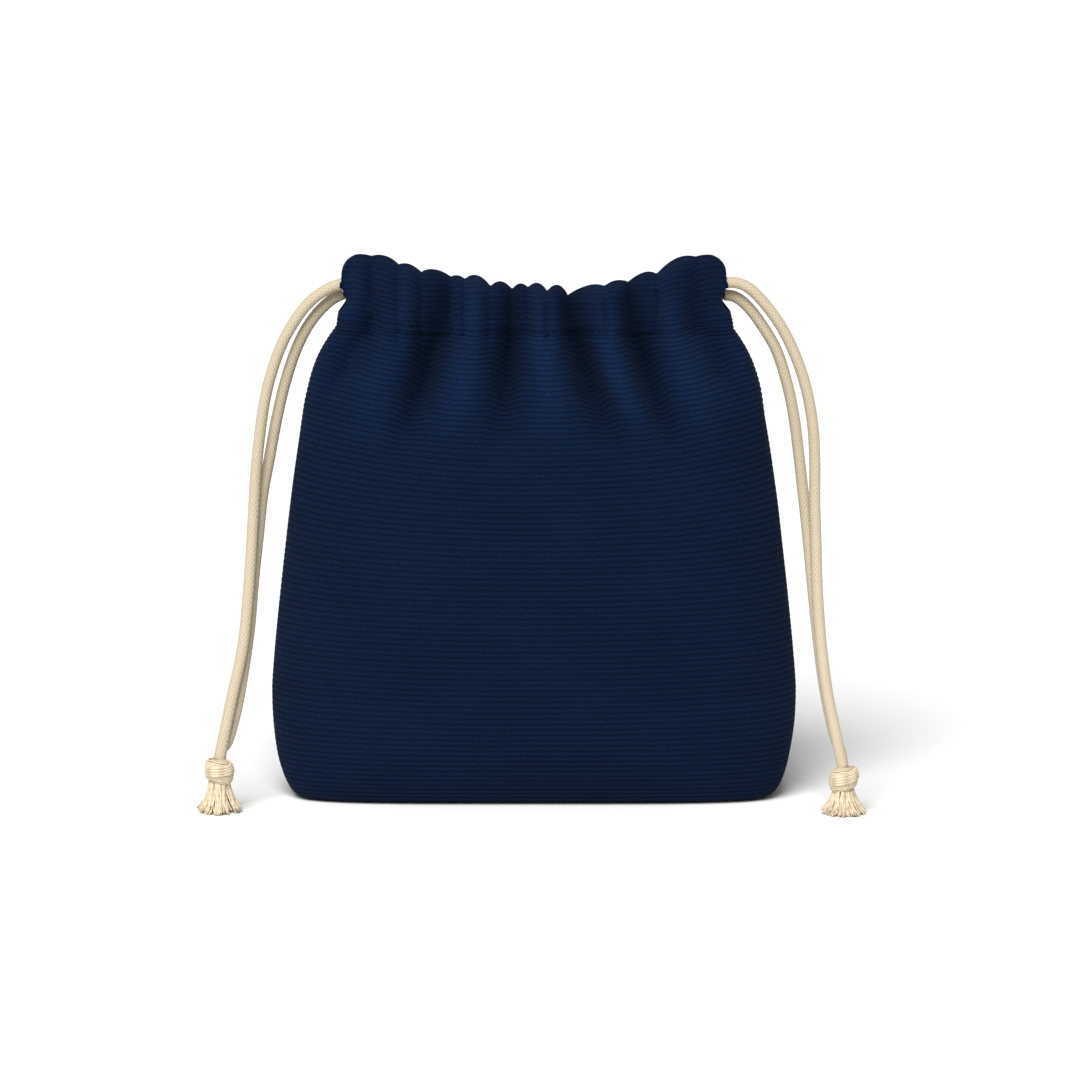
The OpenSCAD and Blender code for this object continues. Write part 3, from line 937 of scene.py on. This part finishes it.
def left_lane(side, exit_z):
    half = MOUTH_W / 2
    start = [
        (-half - 1, side * EXIT_Y, exit_z),
        (-half + 6, side * lerp(EXIT_Y, LANE_Y, 0.35), lerp(UPPER_LANE_Z, exit_z, 0.7)),
        (-half + 14, side * LANE_Y, lerp(UPPER_LANE_Z, exit_z, 0.2)),
        (-half + 22, side * LANE_Y, UPPER_LANE_Z),
    ]
    rest = [BEND_X * i / 5 for i in range(5)]
    return start + [(x, side * LANE_Y, UPPER_LANE_Z + lane_rise(x)) for x in rest]


def lower_lane(x):
    return LOWER_LANE_Z + 0.9 * lane_rise(x)


def right_lane(side, exit_z):
    half = MOUTH_W / 2
    start = [
        (half + 1, side * EXIT_Y, exit_z),
        (half - 6, side * lerp(EXIT_Y, LANE_Y, 0.6), lerp(lower_lane(BEND_X), exit_z, 0.25)),
    ]
    rest = [BEND_X * i / 5 for i in range(5, -1, -1)]
    lane = [(x, side * LANE_Y, lower_lane(x)) for x in rest]
    return start + lane + [(14 - BEND_X, side * LANE_Y, LOWER_LANE_Z)]


def ear_bend(x, z):
    """The turn from the front hem to the back hem, inside an ear."""
    turns = [math.radians(a) for a in range(-90, 91, 30)]
    return [(x + math.copysign(LANE_Y * math.cos(t), x), LANE_Y * math.sin(t), z) for t in turns]


def make_loop(name, node, body, route):
    line = smooth_route(route, 1.0)
    bm = bmesh.new()
    sweep(bm, line, sizes().cord_diameter / MM / 2, 16, relief=braid_relief)
    piece = finished(name, bm, rope_material())
    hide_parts(node)
    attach(piece, body)
    return piece


def knot_radius(z):
    """Half width of a knot at height z above its underside: a barrel with drawn-in ends."""
    from_middle = (z - KNOT_H / 2) / (KNOT_H / 2)
    return KNOT_W / 2 * (1 - 0.42 * abs(from_middle) ** 2.6)


def knot_wrap(at, first_turn, turns, low, high, lean, lift, seed):
    """The line of one wrap: a helix round the knot that leans over to one side."""
    draw = random.Random(seed)
    phase = draw.random() * math.tau
    line = []
    steps = round(turns * 26)
    for i in range(steps + 1):
        t = i / steps
        turn = first_turn + math.tau * turns * t
        z = lerp(low, high, t)
        wobble = 0.12 * math.sin(5 * turn + phase)
        reach = knot_radius(z) - 0.55 + lift * math.sin(math.pi * t) + wobble
        line.append(at + Vector((
            reach * math.cos(turn),
            reach * math.sin(turn),
            z + lean * math.cos(turn) + 0.1 * math.sin(3 * turn + phase),
        )))
    return line


def make_knot(side):
    at = KNOTS[side]
    strand = sizes().strand_diameter / MM / 2
    tilt = -1.0 if side == "left" else 0.9
    bm = bmesh.new()
    profile = [(0.2, 0.6)] + [(knot_radius(z) - 1.1, z) for z in (0.8, 3, 5.7, 8.5, 10.6)]
    profile.append((0.2, 10.9))
    verts = [bm.verts.new((at + Vector((r, 0, z))) * MM) for r, z in profile]
    edges = [bm.edges.new(pair) for pair in zip(verts, verts[1:])]
    bmesh.ops.spin(bm, geom=verts + edges, cent=at * MM, axis=(0, 0, 1), angle=math.tau,
                   steps=24, use_merge=True)
    bmesh.ops.recalc_face_normals(bm, faces=bm.faces)
    line = knot_wrap(at, first_turn=0.3, turns=10, low=1.1, high=KNOT_H - 1.1,
                     lean=tilt, lift=0, seed=3)
    sweep(bm, line, strand, 7, taper=drawn_in_ends)
    for band in range(4):
        step = band * 1.05
        line = knot_wrap(at, first_turn=3.1, turns=0.62, low=3.2 + step, high=7.4 + step,
                         lean=tilt * 0.6, lift=0.75, seed=11 + band)
        sweep(bm, line, strand * 1.05, 7, taper=drawn_in_ends)
    piece = finished(f"{side}_wrapped_knot", bm, fray_material())
    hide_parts(f"{side}_knot")
    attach(piece, f"{side}_tails")
    return piece


def make_tassel(side, seed):
    """Clumps of strands hang from the knot and flare out as they reach down to the floor."""
    at = KNOTS[side]
    draw = random.Random(seed)
    bm = bmesh.new()
    clumps, strands, steps = 24, 12, 8
    for clump in range(clumps):
        inner = clump % 2
        turn = math.tau * (clump + draw.uniform(-0.3, 0.3)) / clumps
        flare = draw.uniform(3, 7) if inner else draw.uniform(8, 9.6)
        foot = draw.uniform(0.6, 1.6)
        for _ in range(strands):
            start_turn = turn + draw.gauss(0, 0.2)
            end_turn = turn + draw.gauss(0, 0.19)
            start = draw.uniform(1.6, 4.3)
            end = min(flare + draw.gauss(0, 0.55), TASSEL_W / 2 - 0.4)
            low = max(0.45, foot + draw.gauss(0, 0.5))
            wave = draw.uniform(-0.5, 0.5)
            line = []
            for i in range(steps + 1):
                t = i / steps
                reach = lerp(start, end, t**1.7) + 0.5 * math.sin(math.pi * t)
                angle = lerp(start_turn, end_turn, t) + wave * 0.12 * math.sin(4.5 * t)
                z = lerp(at.z + 1.6, low, 1 - (1 - t) ** 1.15)
                line.append(Vector((at.x + reach * math.cos(angle),
                                    at.y + reach * math.sin(angle), z)))
            thick = draw.uniform(0.36, 0.52)
            sweep(bm, line, thick, 5, taper=lambda t: 1.05 - 0.45 * t)
    piece = finished(f"{side}_frayed_end", bm, fray_material())
    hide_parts(f"{side}_tassel")
    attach(piece, f"{side}_tails")
    return piece


def make_panel(name, node, side):
    ribs = int(CLOTH_H / (sizes().rib_pitch / MM))
    height = ribs * sizes().rib_pitch / MM
    bm = cloth_sheet(lambda across, up: panel_point(across, up, side, ribs),
                     COLUMNS, ribs * ROWS_PER_RIB, FLAT_W, height, side > 0)
    piece = finished(name, bm, cloth_material())
    thicken(piece, sizes().cloth_thickness)
    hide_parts(node)
    draw_with_mouth(piece)
    return piece


def make_casing(name, node, side):
    rows = 60
    bm = cloth_sheet(lambda across, up: casing_point(across, hem_turn(up), side),
                     2 * COLUMNS, rows, FLAT_W, None, side > 0)
    piece = finished(name, bm, cloth_material())
    thicken(piece, sizes().cloth_thickness)
    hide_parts(node)
    draw_with_mouth(piece)
    return piece


def make_base(name):
    """The flat base, which sags a little between its edges."""
    columns, rows = 60, 24
    weave_w, weave_d = 210, 60
    thickness = 0.0008
    outline = front_outline(0, columns)

    def place(across, up):
        x, y, _, _ = outline[round(across * columns)]
        inwards = 2 * up - 1
        sag = 0.35 * (1 - inwards**2) * (1 - (2 * across - 1) ** 2)
        return Vector((x, -y * inwards, 0.95 - 0.35 * sag))

    bm = cloth_sheet(place, columns, rows, weave_w, weave_d, False)
    bmesh.ops.recalc_face_normals(bm, faces=bm.faces)
    if sum(f.normal.z for f in bm.faces) > 0:
        bmesh.ops.reverse_faces(bm, faces=bm.faces)
    piece = finished(name, bm, cloth_material())
    thicken(piece, thickness)
    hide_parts("base_panel")
    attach(piece, "pouch")
    return piece


def make_stitching(name, node, side):
    """Stitches along the foot of a casing, each with its ends sunk into the cloth."""
    radius = sizes().thread_diameter / MM / 2
    stitch = sizes().stitch_length / MM
    gap, proud, sunk = 1.0, 0.12, 0.25
    place_on_hem = 0.13
    bm = bmesh.new()
    line = []
    count = 900
    for i in range(count + 1):
        across = lerp(0.1, 0.9, i / count)
        p = casing_point(across, place_on_hem, side)
        line.append(p + Vector((0, side * proud, 0)))
    run = [0.0]
    for a, b in zip(line, line[1:]):
        run.append(run[-1] + (b - a).length)
    at, pitch = 0.0, stitch + gap
    while at + stitch < run[-1]:
        part = [p for p, r in zip(line, run) if at <= r <= at + stitch]
        if len(part) >= 3:
            points = [part[0], part[len(part) // 3], part[2 * len(part) // 3], part[-1]]
            points[0] = points[0] - Vector((0, side * sunk, 0))
            points[-1] = points[-1] - Vector((0, side * sunk, 0))
            sweep(bm, points, radius, 5)
        at += pitch
    piece = finished(name, bm, thread_material())
    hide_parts(node)
    draw_with_mouth(piece)
    return piece


def make_bartack(name, node, body, centre, rise):
    """Close stitches across the seam, which join the front half to the back."""
    radius = sizes().thread_diameter / MM / 2
    stitches, spacing = 7, 0.42
    bm = bmesh.new()
    for i in range(stitches):
        x = centre.x + (i - stitches // 2) * spacing
        y_end = 3.0 - 0.2 * (i % 2)
        line = [Vector((x + 0.1 * k, lerp(-y_end, y_end, k / 4),
                        centre.z + rise * math.sin(math.pi * k / 4))) for k in range(5)]
        sweep(bm, line, radius, 6)
    piece = finished(name, bm, thread_material())
    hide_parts(node)
    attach(piece, body)
    return piece


def make_side_seam(name, node, sign):
    """The overlocked edges of front and back, which stand in from the side seam."""
    overlock = 0.75

    def place(across, up):
        z = lerp(9, PANEL_H - 1, up)
        outer = half_width(z) - 1.6
        wave = 0.45 * math.sin(z * 0.55)
        return Vector((sign * (outer - SEAM_ALLOWANCE * across), wave * across, z))

    bm = cloth_sheet(place, 6, 160, SEAM_ALLOWANCE, PANEL_H, sign < 0)
    edge = [place(1, i / 420) + Vector((0, overlock * math.cos(i * 1.3), 0.0))
            + Vector((sign * overlock * math.sin(i * 1.3), 0, 0)) for i in range(421)]
    sweep(bm, edge, 0.22, 4)
    piece = finished(name, bm, thread_material())
    thicken(piece, 0.0012, 0)
    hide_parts(node)
    draw_with_mouth(piece)
    return piece


def make_base_seam(name):
    """The allowance of the seam round the base, turned in and lying on it."""
    columns, girth, outer = 90, 500, 1.2
    outline = front_outline(0, columns)
    ring = [Vector((x, y)) for x, y, _, _ in outline]
    ring += [Vector((-x, -y)) for x, y, _, _ in outline[1:-1]]

    def place(across, up):
        p = ring[round(across * len(ring)) % len(ring)]
        inwards = lerp(outer, outer + SEAM_ALLOWANCE, up)
        scale = Vector(((abs(p.x) - inwards) / max(abs(p.x), 9), 1 - inwards / 28))
        lift = 1.4 + 0.3 * math.sin(across * 160) * up
        return Vector((p.x * max(scale.x, 0.6), p.y * scale.y, lift))

    bm = cloth_sheet(place, len(ring), 5, girth, SEAM_ALLOWANCE, False)
    bmesh.ops.remove_doubles(bm, verts=bm.verts, dist=1e-6)
    bmesh.ops.recalc_face_normals(bm, faces=bm.faces)
    piece = finished(name, bm, thread_material())
    thicken(piece, 0.001, 0)
    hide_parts("base_seam")
    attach(piece, "pouch")
    return piece


# ---- Operators ----


class POUCH_OT_stage(bpy.types.Operator):
    """Makes the floor, the lights and the camera"""

    bl_idname = "pouch.stage"
    bl_label = "Stage"

    def execute(self, context):
        scene = context.scene
        scene.view_settings.view_transform = "Standard"
        camera = bpy.data.cameras.new("Camera")
        camera.lens = CAMERA_LENS
        camera.clip_end = 60
        holder = bpy.data.objects.new("Camera", camera)
        scene.collection.objects.link(holder)
        back = Vector((0, -math.cos(CAMERA_ELEVATION), math.sin(CAMERA_ELEVATION)))
        holder.location = AIM * MM + back * CAMERA_DISTANCE
        holder.rotation_euler = (-back).to_track_quat("-Z", "Y").to_euler()
        scene.camera = holder
        self.make_floor(scene)
        sun = bpy.data.lights.new("Softbox", "SUN")
        sun.energy = SOFTBOX_STRENGTH
        sun.angle = SOFTBOX_SPREAD
        lamp = bpy.data.objects.new("Softbox", sun)
        lamp.rotation_euler = SOFTBOX_TURN
        scene.collection.objects.link(lamp)
        world = bpy.data.worlds.new("Studio")
        world.use_nodes = True
        world.node_tree.nodes["Background"].inputs["Color"].default_value = (1, 1, 1, 1)
        world.node_tree.nodes["Background"].inputs["Strength"].default_value = WORLD_STRENGTH
        scene.world = world
        return {"FINISHED"}

    def make_floor(self, scene):
        bm = bmesh.new()
        bmesh.ops.create_grid(bm, x_segments=8, y_segments=8, size=FLOOR_SIZE)
        mesh = bpy.data.meshes.new("Floor")
        bm.to_mesh(mesh)
        bm.free()
        floor = bpy.data.objects.new("Floor", mesh)
        scene.collection.objects.link(floor)
        material, _, shader = new_material("Seamless paper, white")
        shader.inputs["Base Color"].default_value = (0.97, 0.97, 0.97, 1)
        shader.inputs["Roughness"].default_value = 1.0
        shader.inputs["Specular IOR Level"].default_value = 0.0
        mesh.materials.append(material)


class POUCH_OT_cord_ends(bpy.types.Operator):
    """Makes the knots and the frayed ends of both cords"""

    bl_idname = "pouch.cord_ends"
    bl_label = "Knots and frayed ends"

    def execute(self, context):
        for side, seed in (("left", 5), ("right", 8)):
            make_knot(side)
            make_tassel(side, seed)
        return {"FINISHED"}


class POUCH_OT_cord_tails(bpy.types.Operator):
    """Makes the free stretches of both cords"""

    bl_idname = "pouch.cord_tails"
    bl_label = "Cord tails"

    def execute(self, context):
        routes = {
            "left_front": LEFT_FRONT_ROUTE, "left_back": LEFT_BACK_ROUTE,
            "right_front": RIGHT_FRONT_ROUTE, "right_back": RIGHT_BACK_ROUTE,
        }
        for name, route in routes.items():
            side = name.split("_")[0]
            make_tail(f"{name}_rope", f"{name}_tail", f"{side}_tails", f"{side}_drawcord",
                      route)
        return {"FINISHED"}


class POUCH_OT_cord_loops(bpy.types.Operator):
    """Makes the stretches of both cords that run inside the casing"""

    bl_idname = "pouch.cord_loops"
    bl_label = "Cord loops"

    def execute(self, context):
        left = left_lane(-1, LEFT_FRONT_ROUTE[0][2]) + ear_bend(BEND_X, RAISED_BEND_Z)
        left += left_lane(1, LEFT_BACK_ROUTE[0][2])[::-1]
        right = right_lane(-1, RIGHT_FRONT_ROUTE[0][2]) + ear_bend(-BEND_X, LOWER_LANE_Z)
        right += right_lane(1, RIGHT_BACK_ROUTE[0][2])[::-1]
        make_loop("left_drawcord_rope", "left_cord_loop", "left_drawcord", left)
        make_loop("right_drawcord_rope", "right_cord_loop", "right_drawcord", right)
        return {"FINISHED"}


class POUCH_OT_panels(bpy.types.Operator):
    """Makes the gathered front and back panels"""

    bl_idname = "pouch.panels"
    bl_label = "Front and back"

    def execute(self, context):
        make_panel("front_panel_cloth", "front_panel", -1)
        make_panel("back_panel_cloth", "back_panel", 1)
        return {"FINISHED"}


class POUCH_OT_casings(bpy.types.Operator):
    """Makes the gathered casings round the mouth"""

    bl_idname = "pouch.casings"
    bl_label = "Casings"

    def execute(self, context):
        make_casing("front_casing_cloth", "front_casing", -1)
        make_casing("back_casing_cloth", "back_casing", 1)
        return {"FINISHED"}


class POUCH_OT_base(bpy.types.Operator):
    """Makes the base and the seam round it"""

    bl_idname = "pouch.base"
    bl_label = "Base"

    def execute(self, context):
        make_base("base_panel_cloth")
        make_base_seam("base_seam_allowance")
        return {"FINISHED"}


class POUCH_OT_seams(bpy.types.Operator):
    """Makes the side seams, the stitching under the casings and the bartacks"""

    bl_idname = "pouch.seams"
    bl_label = "Seams and stitching"

    def execute(self, context):
        make_side_seam("left_seam_allowance", "left_side_seam", -1)
        make_side_seam("right_seam_allowance", "right_side_seam", 1)
        make_stitching("front_casing_thread", "front_casing_stitching", -1)
        make_stitching("back_casing_thread", "back_casing_stitching", 1)
        for side, sign, body in (("left", -1, "right_drawcord"), ("right", 1, "left_drawcord")):
            make_bartack(f"{side}_upper_bartack_thread", f"{side}_upper_bartack", body,
                         Vector((sign * 73.5, 0, 232.2)), 0.5)
            make_bartack(f"{side}_lower_bartack_thread", f"{side}_lower_bartack", body,
                         Vector((sign * 78.8, 0, 211.3)), 0.4)
        return {"FINISHED"}


class POUCH_PT_panel(bpy.types.Panel):
    """Lists the pouch's sizes, its colours and what makes its pieces"""

    bl_idname = "POUCH_PT_panel"
    bl_label = "Drawstring pouch"
    bl_space_type = "VIEW_3D"
    bl_region_type = "UI"
    bl_category = "Pouch"

    def draw(self, context):
        for group in (context.scene.pouch_sizes, context.scene.pouch_colours):
            for name in group.__annotations__:
                self.layout.prop(group, name)
        for operator in MAKERS:
            self.layout.operator(operator.bl_idname)


MAKERS = (
    POUCH_OT_stage,
    POUCH_OT_cord_ends,
    POUCH_OT_cord_tails,
    POUCH_OT_cord_loops,
    POUCH_OT_panels,
    POUCH_OT_casings,
    POUCH_OT_base,
    POUCH_OT_seams,
)
CLASSES = (PouchSizes, PouchColours, *MAKERS, POUCH_PT_panel)


def register():
    for item in CLASSES:
        bpy.utils.register_class(item)
    bpy.types.Scene.pouch_sizes = bpy.props.PointerProperty(type=PouchSizes)
    bpy.types.Scene.pouch_colours = bpy.props.PointerProperty(type=PouchColours)


def unregister():
    del bpy.types.Scene.pouch_colours
    del bpy.types.Scene.pouch_sizes
    for item in reversed(CLASSES):
        bpy.utils.unregister_class(item)


def main():
    register()
    bpy.ops.pouch.stage()
    bpy.ops.pouch.cord_ends()
    bpy.ops.pouch.cord_tails()
    bpy.ops.pouch.cord_loops()
    bpy.ops.pouch.panels()
    bpy.ops.pouch.casings()
    bpy.ops.pouch.base()
    bpy.ops.pouch.seams()


if __name__ == "__main__":
    main()
